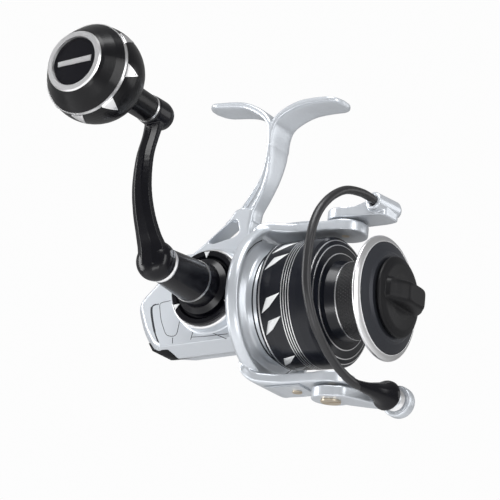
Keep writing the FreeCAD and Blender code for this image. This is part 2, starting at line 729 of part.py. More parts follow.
def knob_pieces():
    """Ball knob: rear shell with its neck, toothed band, front shell, end ring and cap."""
    band = 5.2
    neck = [(-64.0, 3.4), (-64.0, 5.3), (-79.6, 5.6)]
    rear = neck + ball(-16.6, band - 0.8, 14)
    split = number(S.ball_centre) + band
    rear += [(-(split - 0.8), 15.4), (-(split - 2.5), 14.0), (-84.0, 8.0), (-84.0, 5.4),
             (-80.0, 5.4), (-80.0, 3.4)]
    pieces = [turned("knob_rear_shell", "Y", rear, about_crank=True)]
    front = [(-(split + 0.8), 15.2), (-(split + 0.8), 17.5), (-(split + 3.6), 15.6),
             (-109.2, 12.9), (-110.2, 12.0), (-110.2, 10.4), (-108.4, 10.4), (-108.4, 9.0),
             (-(split + 2.4), 9.0), (-(split + 2.4), 14.0)]
    pieces.append(turned("knob_front_shell", "Y", front, about_crank=True))
    pieces.append(turned("knob_end_ring", "Y", [(-108.4, 9.4), (-108.4, 10.4), (-110.2, 10.4),
                                                (-110.2, 11.9), (-110.9, 11.5), (-110.9, 9.6),
                                                (-109.9, 9.4)], about_crank=True))
    pieces.append(turned("knob_cap", "Y", [(-108.4, 0.0), (-108.4, 9.4), (-109.9, 9.4),
                                           (-110.1, 0.0)], about_crank=True))
    rings = [tube("Y", start, start + 2.5, 2.25, 5.3) for start in (-83.6, -103.4)]
    pieces.append(group("knob_bearings", rings, about_crank=True))
    for piece in pieces:
        on_knob_axis(piece)
    on_knob_axis(feature("knob_band", knob_band(split), about_crank=True))


def knob_band(split):
    """The bright band between the shells, with pointed teeth lying on the rear shell."""
    ring = drum("Y", -(split + 0.8), -(split - 0.8), 17.75)
    ring = ring.cut(drum("Y", -(split + 1), -(split - 1), 15.2))
    ring = ring.fuse(drum("Y", -(split + 0.8), -(split - 0.8), 15.2).cut(
        drum("Y", -(split + 1), -(split - 1), 5.3)))
    radius, centre = number(S.ball_radius), number(S.ball_centre)
    skin = Part.makeSphere(radius + 0.35, Vector(0, -centre, 0))
    skin = skin.cut(Part.makeSphere(radius + 0.02, Vector(0, -centre, 0)))
    for index in range(8):
        turn = 45.0 * index + 12.0
        wire = Part.makePolygon([Vector(-2.6, -(split - 0.7), 8), Vector(2.6, -(split - 0.7), 8),
                                 Vector(0, -(split - 6.8), 8), Vector(-2.6, -(split - 0.7), 8)])
        tooth = Part.Face(wire).extrude(Vector(0, 0, 14)).common(skin)
        tooth.rotate(Vector(0, 0, 0), Vector(0, 1, 0), turn)
        ring = ring.fuse(tooth)
    return ring.removeSplitter()


# ---------------------------------------------------------------------------- rotor and bail

def rotor_shape():
    """Rotor: hub cup over the clutch, dished back and two arms to the bail pivots."""
    rear = number(S.rotor_rear)
    rim = number(S.rotor_radius)
    profile = [(26.2, 3.05), (28.6, 3.05), (28.6, 15.2), (27.4, 15.2), (27.4, 21.2),
               (22.6, 22.4), (20.6, 25.2), (20.4, 27.0), (21.4, 28.6), (23.8, 29.4),
               (23.8, rim - 0.4), (21.0, rim), (19.0, 31.0),
               (rear, 29.2), (rear, 26.4), (18.4, 23.0), (20.4, 21.0), (25.4, 19.6), (25.4, 15.4),
               (18.4, 15.4), (18.4, 13.4), (26.2, 13.4)]
    wire = Part.makePolygon([Vector(a, 0, b) for a, b in profile + profile[:1]])
    shape = Part.Face(wire).revolve(Vector(0, 0, 0), Vector(1, 0, 0), 360)
    pivot = number(S.pivot_front)
    half = number(S.arm_half)
    thick = number(S.arm_thick)
    tops = {1: number(S.arm_top), -1: number(S.arm_low)}
    roots = {1: [(18.0, 24.0), (18.6, 29.4), (20.8, 30.8), (24.0, 31.2), (34.0, 31.0)],
             -1: [(18.0, 24.0), (18.6, 30.2), (21.5, 32.8), (24.0, 33.8), (34.0, 33.6)]}
    throats = {1: [(30.0, 26.5), (25.0, 26.3), (22.8, 26.0), (21.4, 24.0)],
               -1: [(34.0, 29.2), (28.0, 28.7), (24.0, 27.4), (22.8, 26.2), (21.4, 24.0)]}
    arms = []
    for way in (1, -1):
        outer = tops[way]
        inner = outer - thick
        side = roots[way] + [(pivot + half, outer), (pivot + half, inner)] + throats[way]
        corners = [Vector(a, -half - 6, way * b) for a, b in side]
        arm = Part.Face(Part.makePolygon(corners + corners[:1])).extrude(
            Vector(0, 2 * half + 12, 0))
        plan = [Vector(17.0, -14.4, 0), Vector(24.0, -14.0, 0), Vector(33.0, -half - 0.8, 0),
                Vector(pivot, -half, 0), Vector(pivot, half, 0), Vector(33.0, half + 0.8, 0),
                Vector(24.0, 14.0, 0), Vector(17.0, 14.4, 0)]
        blank = Part.Face(Part.makePolygon(plan + plan[:1])).extrude(Vector(0, 0, way * 45))
        pad_end = Part.makeCylinder(half, 45, Vector(pivot, 0, 0), Vector(0, 0, way))
        arms.append(arm.common(blank.fuse(pad_end)))
    shape = shape.multiFuse(arms)
    for way in (1, -1):
        window = Part.makeBox(9.0, 11.0, 4.6, Vector(17.0, -5.5, 24.0 if way > 0 else -28.6))
        shape = shape.cut(window.cut(Part.makeCylinder(24.5, 20, Vector(15, 0, 0),
                                                       Vector(1, 0, 0))))
        hole = Part.makeCylinder(1.55, 45, Vector(pivot, 0, 0), Vector(0, 0, way))
        shape = shape.cut(hole)
        screw_hole = Part.makeCylinder(number(S.screw_radius), 1.6,
                                       Vector(35.4, 0, way * (tops[way] - 0.6)),
                                       Vector(0, 0, way))
        shape = shape.cut(screw_hole)
    recess = Part.makeCylinder(4.4, 3.0, Vector(pivot - 9.0, 0, -31.8))
    shape = shape.cut(recess)
    return shape.removeSplitter()


def rotor_pieces():
    feature("rotor", rotor_shape())
    pinion_gear()
    collar("clutch_sleeve", "X", 19.7, 24.2, S.pinion_journal, 4.5)
    nut = doc.addObject("PartDesign::Body", "rotor_nut")
    corners = [(5.8 * math.cos(math.radians(60 * i)), 5.8 * math.sin(math.radians(60 * i)))
               for i in range(6)]
    pad(nut, "YZ_Plane", corners, 28.6, 2.6)
    pocket(nut, "YZ_Plane", round_hole(0.0, 0.0, S.pinion_journal), 28.0, 4.0)
    node(nut, "rotor_nut")
    pivot = number(S.pivot_front)
    screws = []
    for label, way, outer in (("wire_arm_cover", 1, S.arm_top),
                              ("roller_arm_cover", -1, S.arm_low)):
        cover = doc.addObject("PartDesign::Body", label)
        points = [(24.6, way * (outer + 0.2)), (34.0, way * outer),
                  (40.4, way * outer), (40.4, way * (outer + 0.7)),
                  (34.0, way * (outer + 0.9)), (27.5, way * (outer + 0.8))]
        pad(cover, "XZ_Plane", points, 0.0, 14.0, midplane=True)
        low = outer - 1.0 if way > 0 else -outer - 3.0
        pocket(cover, "XY_Plane", round_hole(35.4, 0.0, S.screw_radius), low, 4.0)
        node(cover, label)
        screws.append(screw("Z", Size("1", 1) * way * (outer + 0.9), Size("0.5", 0.5) * way, 1.9,
                            S.screw_radius, 1.4, (35.4, 0.0)))
    group("arm_cover_screws", screws)
    collar("bail_spring", "Z", -31.6, -29.4, 2.4, 4.2, shift=(pivot - 9.0, 0, 0))


def bail_arm(way, outline_points, low, high):
    """A flat bail arm in plan, from its pivot eye, cut between two heights."""
    wire = Part.makePolygon([Vector(a, b, 0) for a, b in outline_points + outline_points[:1]])
    flat = Part.Face(wire).extrude(Vector(0, 0, high - low))
    flat.translate(Vector(0, 0, low if way > 0 else -high))
    eye = Part.makeCylinder(7.6, high - low, Vector(number(S.pivot_front), 0,
                                                    low if way > 0 else -high))
    return flat.fuse(eye)


def bail_pieces():
    pivot = number(S.pivot_front)
    gap = number(S.bail_gap)
    low = number(S.arm_top) + gap
    high = number(S.wire_arm_high)
    eye = number(S.wire_eye_high)
    arm = bail_arm(1, [(pivot - 2.0, -7.3), (pivot + 6.0, -6.2), (64.0, -6.2), (69.6, -5.0),
                       (69.8, 4.6), (66.0, 6.2), (pivot + 4.0, 7.0)], low, high)
    above = solid_outline([(40.0, eye), (pivot + 7.2, eye), (65.0, high), (65.0, high + 5),
                           (40.0, high + 5)], -9.0, 9.0)
    arm = arm.cut(above)
    top = number(S.wire_top)
    socket = drum("Y", -8.6, 6.4, 3.4, (0, top))
    bore = drum("Y", -13.0, -1.0, number(S.wire_radius), (0, top))
    for piece in (socket, bore):
        piece.Placement = Placement(Vector(number(S.wire_front), 0, 0), wire_turn())
    hole = Part.makeCylinder(1.6, 60, Vector(pivot, 0, 0))
    feature("wire_arm", arm.fuse(socket).cut(bore).cut(hole).removeSplitter())
    low = number(S.arm_low) + gap
    high = number(S.roller_arm_high)
    arm = bail_arm(-1, [(pivot - 2.0, -7.3), (pivot + 8.0, -5.0), (63.0, 5.0), (65.6, 11.6),
                        (70.0, 12.2), (76.0, 12.2), (77.4, 15.2), (75.6, 18.2), (67.0, 18.2),
                        (60.0, 13.0), (pivot + 3.0, 7.2)], low, high)
    front, drop = number(S.roller_front), number(S.roller_drop)
    boss = drum("Y", 12.2, 18.2, 6.2, (front, -drop))
    pin = drum("Y", 3.0, 14.0, 1.3, (front, -drop))
    shank = drum("Y", 16.0, 18.2, 1.0, (front, -drop))
    hole = Part.makeCylinder(1.6, 60, Vector(pivot, 0, -60))
    feature("roller_arm", arm.fuse(boss).cut(hole).fuse(pin).cut(shank).removeSplitter())
    bail_wire()
    side = number(S.roller_side)
    turned("line_guide_cone", "Y", [(-7.5, 0.0), (-7.5, 1.75), (-5.0, 2.3), (-1.0, 3.9),
                                    (4.4, 5.5), (5.8, 5.3), (5.8, 1.3), (3.0, 1.3),
                                    (3.0, 0.0)],
           shift=(S.roller_front, 0, -S.roller_drop))
    turned("line_roller", "Y", [(side - 2.2, 2.4), (side - 2.2, S.roller_radius + 0.2),
                                (side - 1.2, S.roller_radius - 0.4),
                                (side + 1.2, S.roller_radius - 0.4),
                                (side + 2.7, S.roller_radius + 0.4), (side + 2.7, 2.4)],
           shift=(S.roller_front, 0, -S.roller_drop))
    collar("roller_bearing", "Y", side - 2.0, side + 2.5, 1.35, 2.4,
           shift=(S.roller_front, 0, -S.roller_drop))
    thick = S.arm_thick
    heads = [screw("Z", S.wire_eye_high, Size("0.7", 0.7), 3.9, 1.5,
                   S.wire_eye_high - S.arm_top + thick, (pivot, 0.0)),
             screw("Z", -S.roller_arm_high, -Size("0.7", 0.7), 3.9, 1.5,
                   S.roller_arm_high - S.arm_low + thick, (pivot, 0.0))]
    group("pivot_screws", heads)
    group("roller_screw", [screw("Y", Size("18.2", 18.2), Size("0.7", 0.7), 2.6, 1.0, 2.2,
                                 (number(S.roller_front), -number(S.roller_drop)))])


def wire_turn():
    """How the plane of the bail wire stands: yawed about Z and tilted about its own Y."""
    yaw = Rotation(Vector(0, 0, 1), -number(S.wire_yaw))
    return yaw.multiply(Rotation(Vector(0, 1, 0), -number(S.wire_tilt)))


def bail_wire():
    """The bail's round wire: a short run into the arm's socket and two tangent arcs."""
    body = doc.addObject("PartDesign::Body", "bail_wire")
    spine = sketch(body, "YZ_Plane")
    top, reach, bend = number(S.wire_top), 31.0, -14.0
    spine.addGeometry(Part.LineSegment(Vector(-1.0, top, 0), Vector(bend, top, 0)), False)
    upper = Part.Circle(Vector(bend, top - reach, 0), Vector(0, 0, 1), reach)
    spine.addGeometry(Part.ArcOfCircle(upper, math.pi / 2, math.pi), False)
    wide = 43.5
    lower = Part.Circle(Vector(bend - reach + wide, top - reach, 0), Vector(0, 0, 1), wide)
    end_turn = math.pi + math.acos(6.3 / wide)
    spine.addGeometry(Part.ArcOfCircle(lower, math.pi, end_turn), False)
    section = sketch(body, "XZ_Plane", 1.0)
    circle(section, 0.0, top, S.wire_radius)
    pipe = body.newObject("PartDesign::AdditivePipe", "Pipe")
    pipe.Profile = section
    pipe.Spine = spine
    node(body, "bail_wire", spin=wire_turn(), shift=(S.wire_front, 0, 0))


# ---------------------------------------------------------------------------- spool and drag

def shaft_pieces():
    body = doc.addObject("PartDesign::Body", "main_shaft")
    thin = S.shaft_radius
    revolve(body, [(-S.shaft_rear, 0.0), (-S.shaft_rear, thin), (52.6, thin), (52.6, 2.6),
                   (53.8, 2.6), (53.8, thin), (S.shaft_front, thin), (S.shaft_front, 0.0)], "X")
    node(body, "main_shaft")
    slider = doc.addObject("PartDesign::Body", "oscillation_slider")
    pad(slider, "XZ_Plane", [(-24.4, -7.8), (-21.6, -7.8), (-21.6, 4.0), (-26.2, 4.0),
                             (-26.2, -3.6), (-24.4, -4.6)], 0.0, 9.0, midplane=True)
    pad(slider, "XZ_Plane", [(-22.0, -7.2), (-9.6, -7.2), (-9.6, 9.4), (-16.0, 9.4),
                             (-22.0, 4.0)], 2.7, 1.8)
    pocket(slider, "XZ_Plane", [(-14.3, -6.2), (-11.4, -6.2), (-11.4, 8.4), (-14.3, 8.4)],
           2.0, 4.0)
    pocket(slider, "YZ_Plane", round_hole(0.0, 0.0, S.shaft_radius), -30.0, 15.0)
    pocket(slider, "YZ_Plane", round_hole(0.0, -S.guide_drop, 1.15), -30.0, 15.0)
    node(slider, "oscillation_slider")


def spool_pieces():
    rear, front, rim = S.skirt_rear, S.skirt_front, S.skirt_radius
    arbor, bore, lip = S.arbor_radius, S.drag_bore, S.lip_rear
    turned("spool", "X", [
        (rear, rim - 2.3), (rear, rim - 0.8), (rear + 5.7, rim - 0.3), (front - 4.6, rim),
        (front - 0.8, rim - 0.2), (front, rim - 0.9), (front + 0.9, rim - 3.3),
        (front + 1.6, rim - 6.6), (front + 2.4, arbor + 1.1), (front + 7.0, arbor),
        (front + 7.0, arbor - 0.7), (lip - 1.0, arbor - 0.7), (lip, S.lip_radius - 2.6),
        (lip + 2.2, S.lip_radius - 2.6), (lip + 2.2, bore), (60.0, bore), (60.0, 1.6),
        (57.2, 1.6), (57.2, 3.6), (54.4, 3.6), (54.4, 6.5), (front + 7.8, 6.5),
        (front + 7.8, arbor - 2.2), (front, arbor - 1.3), (front - 1.6, rim - 2.8),
        (front - 2.8, rim - 2.3)])
    edge = S.lip_radius
    turned("spool_lip", "X", [(lip, edge - 2.6), (lip + 1.0, edge - 0.3), (lip + 1.7, edge),
                              (lip + 2.4, edge - 0.4), (S.lip_front, edge - 2.5),
                              (S.lip_front - 0.2, edge - 2.6)])
    turned("spool_face", "X", [(lip + 2.2, bore), (lip + 2.2, edge - 2.6),
                               (S.lip_front - 0.2, edge - 2.6), (73.4, edge - 6.4),
                               (74.3, 16.6), (74.3, bore)])
    collar("arbor_band", "X", front + 7.0, lip - 1.1, arbor - 0.7, arbor - 0.1)
    collar("spool_bearing", "X", 54.4, 57.1, S.shaft_radius + S.running, 3.6)
    for label, shift, thick in (("drag_washers", 0.0, 0.8), ("drag_plates", 0.8, 0.6)):
        rings = []
        for index in range(3):
            start = 60.0 + shift + index * 1.4
            ring = join(rod(start, start + thick, bore - 0.3), rod(start - 1, start + 2, 1.9), "Cut")
            rings.append(ring)
        group(label, rings)
    collar("drag_retainer", "X", 64.4, 65.2, bore - 1.6, bore)


def drag_pieces():
    rear, front, rim = S.knob_rear, S.knob_front, S.knob_radius
    knob = doc.addObject("PartDesign::Body", "drag_knob")
    revolve(knob, [(rear, 8.6), (rear, rim), (rear + 1.0, rim + 0.1), (rear + 1.8, rim - 0.6),
                   (rear + 2.8, rim - 3.2), (rear + 3.4, 8.0), (rear + 3.4, 0.0),
                   (rear + 1.8, 0.0), (rear + 1.8, 8.6)], "X")
    bar = [(-13.0, 77.0), (-12.2, 79.4), (-6.8, front - 0.8), (-5.4, front), (5.4, front),
           (6.8, front - 0.8), (12.2, 79.4), (13.0, 77.0)]
    pad(knob, "XY_Plane", [(along, side) for side, along in bar], 0.0, S.bar_thick,
        midplane=True)
    pocket(knob, "YZ_Plane", round_hole(0.0, 0.0, S.shaft_radius + 0.3), 70.0, 12.0)
    node(knob, "drag_knob")
    turned("drag_nut", "X", [(66.0, S.shaft_radius + 0.1), (66.0, 8.4), (68.0, 8.4),
                             (68.0, 6.2), (76.6, 6.2), (76.6, S.shaft_radius + 0.1)])
    turned("drag_spring", "X", [(68.2, 6.4), (68.2, 8.0), (74.4, 8.0), (74.4, 6.4)])


def check_and_write():
    doc.recompute()
    for item in doc.Objects:
        if "Invalid" in item.State or "Error" in item.State:
            raise RuntimeError("%s failed: %s" % (item.Label, item.State))
    os.makedirs("parts", exist_ok=True)
    for piece in NODES:
        shape = piece.Shape
        if shape.isNull() or not shape.isValid():
            raise RuntimeError("%s has no valid shape" % piece.Label)
        shape.exportStep(os.path.join("parts", piece.Label + ".step"))
        print("%-22s solids %d  volume %.1f" % (piece.Label, len(shape.Solids), shape.Volume))


body_pieces()
handle_pieces()
cam_gears()
knob_pieces()
rotor_pieces()
bail_pieces()
shaft_pieces()
spool_pieces()
drag_pieces()
check_and_write()
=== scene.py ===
"""Spinning reel: looks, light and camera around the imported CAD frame.

Shapes are written in millimetres in the reel's axis frame (X along the main shaft, origin
below the crank, handle on the -Y side) and are moved to the row frame in metres.
"""
import json
import math

import bmesh
import bpy
from mathutils import Matrix, Vector


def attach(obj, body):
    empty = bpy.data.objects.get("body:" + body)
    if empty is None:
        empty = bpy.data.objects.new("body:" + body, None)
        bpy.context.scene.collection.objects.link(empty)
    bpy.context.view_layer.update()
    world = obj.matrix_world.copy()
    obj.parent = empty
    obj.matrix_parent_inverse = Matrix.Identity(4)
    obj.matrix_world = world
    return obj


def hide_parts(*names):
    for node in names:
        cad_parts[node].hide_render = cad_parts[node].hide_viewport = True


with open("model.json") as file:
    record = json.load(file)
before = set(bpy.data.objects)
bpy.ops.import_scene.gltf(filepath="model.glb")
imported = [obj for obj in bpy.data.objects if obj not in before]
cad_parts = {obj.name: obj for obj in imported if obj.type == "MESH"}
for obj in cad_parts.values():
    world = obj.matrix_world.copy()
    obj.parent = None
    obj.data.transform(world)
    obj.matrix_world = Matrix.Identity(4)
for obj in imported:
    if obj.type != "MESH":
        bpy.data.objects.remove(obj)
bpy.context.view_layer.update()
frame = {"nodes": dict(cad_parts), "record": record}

AXIS = (-14.0, 0.0, -85.5)        # the axis frame's origin in the row frame, mm
RISE = 4.2                        # crank axis above the main shaft
LEAN = math.radians(-4.1)         # how far the stored crank leans back
REACH = 58.2                      # crank axis to knob axis
TO_ROW = Matrix.Scale(0.001, 4) @ Matrix.Translation(AXIS)
CRANK = TO_ROW @ Matrix.Translation((0, 0, RISE)) @ Matrix.Rotation(LEAN, 4, "Y")
KNOB = CRANK @ Matrix.Translation((0, 0, REACH))


# ------------------------------------------------------------------------------ materials

COAT_ROUGHNESS = 0.1
GRAIN_SCALE = 2500.0              # noise cells per metre
GRAIN_DEPTH = 0.00005             # m


def material(name, color, metal=0.0, rough=0.4, coat=0.0, grain=0.0, spread=0.0, shine=0.5):
    """A finish; grain is a fine bump and spread varies the roughness over the surface."""
    made = bpy.data.materials.new(name)
    made.use_nodes = True
    nodes, links = made.node_tree.nodes, made.node_tree.links
    shader = nodes["Principled BSDF"]
    shader.inputs["Base Color"].default_value = (*color, 1.0)
    shader.inputs["Metallic"].default_value = metal
    shader.inputs["Roughness"].default_value = rough
    shader.inputs["Specular IOR Level"].default_value = shine
    shader.inputs["Coat Weight"].default_value = coat
    shader.inputs["Coat Roughness"].default_value = COAT_ROUGHNESS
    if grain or spread:
        place = nodes.new("ShaderNodeTexCoord")
        noise = nodes.new("ShaderNodeTexNoise")
        noise.inputs["Scale"].default_value = GRAIN_SCALE
        noise.inputs["Detail"].default_value = 2.0
        links.new(place.outputs["Object"], noise.inputs["Vector"])
    if grain:
        bump = nodes.new("ShaderNodeBump")
        bump.inputs["Strength"].default_value = grain
        bump.inputs["Distance"].default_value = GRAIN_DEPTH
        links.new(noise.outputs["Fac"], bump.inputs["Height"])
        links.new(bump.outputs["Normal"], shader.inputs["Normal"])
    if spread:
        band = nodes.new("ShaderNodeMapRange")
        band.inputs["To Min"].default_value = max(0.02, rough - spread)
        band.inputs["To Max"].default_value = rough + spread
        links.new(noise.outputs["Fac"], band.inputs["Value"])
        links.new(band.outputs["Result"], shader.inputs["Roughness"])
    return made


SILVER = material("silver_paint", (0.56, 0.59, 0.63), metal=0.5, rough=0.32, coat=0.15,
                  grain=0.06, spread=0.03)
BRIGHT = material("bright_metal", (0.86, 0.86, 0.87), metal=1.0, rough=0.3, grain=0.02)
BLACK = material("black_gloss", (0.003, 0.003, 0.005), rough=0.22, coat=0.05, spread=0.02,
                 shine=0.24)
SKIRT = material("black_skirt", (0.005, 0.006, 0.010), metal=0.05, rough=0.28, coat=0.1,
                 grain=0.02, shine=0.3)
FACE = material("grey_face", (0.022, 0.024, 0.03), metal=0.3, rough=0.42, grain=0.05,
                shine=0.35)
PLASTIC = material("black_plastic", (0.004, 0.004, 0.005), rough=0.44, grain=0.12, shine=0.2)
SHELL = material("knob_shell", (0.003, 0.003, 0.004), rough=0.25, coat=0.04, spread=0.02,
                 shine=0.22)
WIRE = material("wire_metal", (0.028, 0.028, 0.030), metal=0.4, rough=0.36, grain=0.04)
CHAMPAGNE = material("champagne", (0.72, 0.62, 0.48), metal=1.0, rough=0.3, grain=0.05)
BRASS = material("gear_brass", (0.62, 0.44, 0.18), metal=1.0, rough=0.3, grain=0.04)
ALLOY = material("gear_alloy", (0.55, 0.55, 0.54), metal=1.0, rough=0.38, grain=0.05)
STEEL = material("steel", (0.52, 0.52, 0.53), metal=1.0, rough=0.25, grain=0.03)
RUBBER = material("rubber_band", (0.012, 0.012, 0.014), rough=0.5, grain=0.3)
CARBON = material("drag_carbon", (0.02, 0.02, 0.02), rough=0.45, grain=0.3)
MARK = material("white_mark", (0.72, 0.73, 0.74), metal=0.2, rough=0.35)

FINISH = {"silver_paint": SILVER, "bright_metal": BRIGHT, "black_gloss": BLACK,
          "black_skirt": SKIRT, "grey_face": FACE, "black_plastic": PLASTIC,
          "knob_shell": SHELL, "wire_metal": WIRE, "champagne": CHAMPAGNE,
          "gear_brass": BRASS, "gear_alloy": ALLOY, "steel": STEEL, "rubber_band": RUBBER,
          "drag_carbon": CARBON}

SLOT_OF = {part["node"]: part["material_slot"] for part in frame["record"]["subparts"]}
for name, thing in frame["nodes"].items():
    thing.data.materials.clear()
    thing.data.materials.append(FINISH[SLOT_OF[name]])


# --------------------------------------------------------------------------- mesh helpers

SHARP_ANGLE = 35.0                # edges that turn more than this stay crisp, degrees
TUBE_ANGLE = 50.0
WELD = 1e-7                       # points closer than this become one, m


def mesh(name, points, faces, finish, to=TO_ROW, sharp=SHARP_ANGLE):
    """A mesh from points in mm, moved to the row frame."""
    data = bpy.data.meshes.new(name)
    data.from_pydata([to @ Vector(point) for point in points], [], faces)
    work = bmesh.new()
    work.from_mesh(data)
    bmesh.ops.remove_doubles(work, verts=work.verts, dist=WELD)
    bmesh.ops.recalc_face_normals(work, faces=work.faces)
    work.to_mesh(data)
    work.free()
    data.polygons.foreach_set("use_smooth", [True] * len(data.polygons))
    data.set_sharp_from_angle(angle=math.radians(sharp))
    data.materials.append(finish)
    made = bpy.data.objects.new(name, data)
    bpy.context.scene.collection.objects.link(made)
    return made


def finished(thing, body, slot, *nodes):
    """Hang a piece on its body and hide the CAD nodes it stands for; slot is not used."""
    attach(thing, body)
    if nodes:
        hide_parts(*nodes)
    return thing


def soften(corners, cut, count=4, closed=True):
    """Round the corners of an outline; cut is how far back each arc starts."""
    softened = []
    total = len(corners)
    for i, corner in enumerate(corners):
        here = Vector(corner)
        if not closed and i in (0, total - 1):
            softened.append(tuple(here))
            continue
        before, after = Vector(corners[i - 1]), Vector(corners[(i + 1) % total])
        start = here + (before - here) * min(0.45, cut / max((before - here).length, 1e-6))
        end = here + (after - here) * min(0.45, cut / max((after - here).length, 1e-6))
        for k in range(count + 1):
            t = k / count
            softened.append(tuple(start * (1 - t) ** 2 + here * 2 * t * (1 - t) + end * t * t))
    return softened


def curve(points, count):
    """A smooth line through points (Catmull-Rom), with count steps for each stretch."""
    line = []
    ends = [Vector(p) for p in points]
    ends = [ends[0] * 2 - ends[1]] + ends + [ends[-1] * 2 - ends[-2]]
    for a, b, c, d in zip(ends, ends[1:], ends[2:], ends[3:]):
        for k in range(count):
            t = k / count
            line.append(0.5 * (2 * b + (c - a) * t + (2 * a - 5 * b + 4 * c - d) * t * t
                               + (3 * b - a - 3 * c + d) * t ** 3))
    line.append(ends[-2])
    return line


def on_axis(axis, along, radius, turn):
    across, up = radius * math.cos(turn), radius * math.sin(turn)
    return {"X": (along, across, up), "Y": (across, along, up), "Z": (across, up, along)}[axis]


def lathe(name, axis, profile, finish, to=TO_ROW, steps=144):
    """Turn a closed profile of (along, radius) about an axis."""
    count = len(profile)
    points = [on_axis(axis, along, radius, 2 * math.pi * k / steps)
              for k in range(steps) for along, radius in profile]
    faces = []
    for k in range(steps):
        ahead = (k + 1) % steps
        for i in range(count):
            j = (i + 1) % count
            if profile[i][1] < 1e-6 and profile[j][1] < 1e-6:
                continue
            faces.append((k * count + i, k * count + j, ahead * count + j, ahead * count + i))
    return mesh(name, points, faces, finish, to)


def loft(name, rings, finish, to=TO_ROW, sharp=SHARP_ANGLE):
    """A skin over rings of equal length, with flat ends."""
    count = len(rings[0])
    points = [point for ring in rings for point in ring]
    faces = []
    for k in range(len(rings) - 1):
        ahead = k + 1
        for i in range(count):
            j = (i + 1) % count
            faces.append((k * count + i, k * count + j, ahead * count + j, ahead * count + i))
    faces.append(tuple(range(count)))
    faces.append(tuple(range(len(points) - count, len(points))))
    return mesh(name, points, faces, finish, to, sharp)


def inset(outline, depth):
    """Move each corner of an outline inwards; depth is a number or a function of the corner."""
    moved = []
    total = len(outline)
    area = sum(a[0] * b[1] - b[0] * a[1] for a, b in zip(outline, outline[1:] + outline[:1]))
    way = 1 if area > 0 else -1
    for i, (x, z) in enumerate(outline):
        before, after = outline[i - 1], outline[(i + 1) % total]
        along = Vector((after[0] - before[0], after[1] - before[1])).normalized()
        deep = depth(x, z) if callable(depth) else depth
        moved.append((x - along.y * way * deep, z + along.x * way * deep))
    return moved


def plate(name, outline, low, high, finish, rim=0.0, to=TO_ROW, plane="XZ"):
    """A flat piece with rounded rims: an outline in the XZ, XY or YZ plane, from low to high."""
    def spot(point, level):
        return {"XZ": (point[0], level, point[1]), "XY": (point[0], point[1], level),
                "YZ": (level, point[0], point[1])}[plane]
    levels = [(low, rim), (low + rim * 0.3, rim * 0.3), (low + rim, 0.0), (high - rim, 0.0),
              (high - rim * 0.3, rim * 0.3), (high, rim)] if rim else [(low, 0), (high, 0)]
    rings = [[spot(point, level) for point in inset(outline, deep)] for level, deep in levels]
    return loft(name, rings, finish, to)


def applied(thing):
    """Bake a piece's modifiers into its mesh."""
    bpy.context.view_layer.update()
    graph = bpy.context.evaluated_depsgraph_get()
    data = bpy.data.meshes.new_from_object(thing.evaluated_get(graph))
    thing.modifiers.clear()
    thing.data = data
    return thing


def fused(name, pieces, voxel, rounds, finish):
    """Melt overlapping solids into one cast piece with soft inner corners."""
    points, faces = [], []
    for piece in pieces:
        first = len(points)
        points += [tuple(vertex.co) for vertex in piece.data.vertices]
        faces += [tuple(first + i for i in face.vertices) for face in piece.data.polygons]
        bpy.data.objects.remove(piece)
    data = bpy.data.meshes.new(name)
    data.from_pydata(points, [], faces)
    made = bpy.data.objects.new(name, data)
    bpy.context.scene.collection.objects.link(made)
    melt = made.modifiers.new("melt", "REMESH")
    melt.mode = "VOXEL"
    melt.voxel_size = voxel * 0.001
    melt.use_smooth_shade = True
    calm = made.modifiers.new("calm", "SMOOTH")
    calm.factor = 0.5
    calm.iterations = rounds
    applied(made)
    made.data.polygons.foreach_set("use_smooth", [True] * len(made.data.polygons))
    made.data.materials.clear()
    made.data.materials.append(finish)
    return made


def tube(name, line, section, finish, side=Vector((0, 0, 1)), scale=None):
    """Sweep a section (a list of (side, other) offsets) along a line of points."""
    rings = []
    for i, here in enumerate(line):
        ahead = line[min(i + 1, len(line) - 1)] - line[max(i - 1, 0)]
        ahead.normalize()
        across = (side - ahead * side.dot(ahead)).normalized()
        other = ahead.cross(across)
        size = scale(i / (len(line) - 1)) if scale else 1.0
        rings.append([tuple(here + across * a * size + other * b * size) for a, b in section])
    return loft(name, rings, finish, sharp=TUBE_ANGLE)


def oval(half_a, half_b, count=24, power=2.0):
    """A ring of offsets, from an ellipse (power 2) towards a rounded box (higher powers)."""
    ring = []
    for k in range(count):
        turn = 2 * math.pi * (k + 0.5) / count
        a, b = math.cos(turn), math.sin(turn)
        ring.append((math.copysign(abs(a) ** (2 / power), a) * half_a,
                     math.copysign(abs(b) ** (2 / power), b) * half_b))
    return ring


# ------------------------------------------------------------------------------- housing

CASE = [(15.4, -16.4), (12.8, -18.1), (-21.5, -19.3), (-27.6, -16.9), (-33.0, -9.0),
        (-36.8, 0.5), (-36.2, 4.5), (-29.0, 11.5), (-19.5, 22.3), (8.5, 22.3), (12.5, 20.4),
        (17.2, 17.0), (17.2, -13.0)]


def foot_arm(name, line, half_thick):
    """One half of the foot: a bent plate with a rounded tip, running down into the stem."""
    rings = []
    path = curve(line, 5)
    tip = path[0]
    for i, here in enumerate(path):
        ahead = path[min(i + 1, len(path) - 1)] - path[max(i - 1, 0)]
        angle = math.atan2(ahead[1], ahead[0])
        run = (here - tip).length
        wide = 7.2 if run > 5.5 else 7.2 * math.sqrt(max(0.06, 1 - (1 - run / 5.5) ** 2)) ** 0.8
        thick = half_thick(i / (len(path) - 1))
        ring = []
        for a, b in oval(thick, wide, 32, 5.0):
            ring.append((here[0] - math.sin(angle) * a, b, here[1] + math.cos(angle) * a))
        rings.append(ring)
    return loft(name, rings, SILVER)


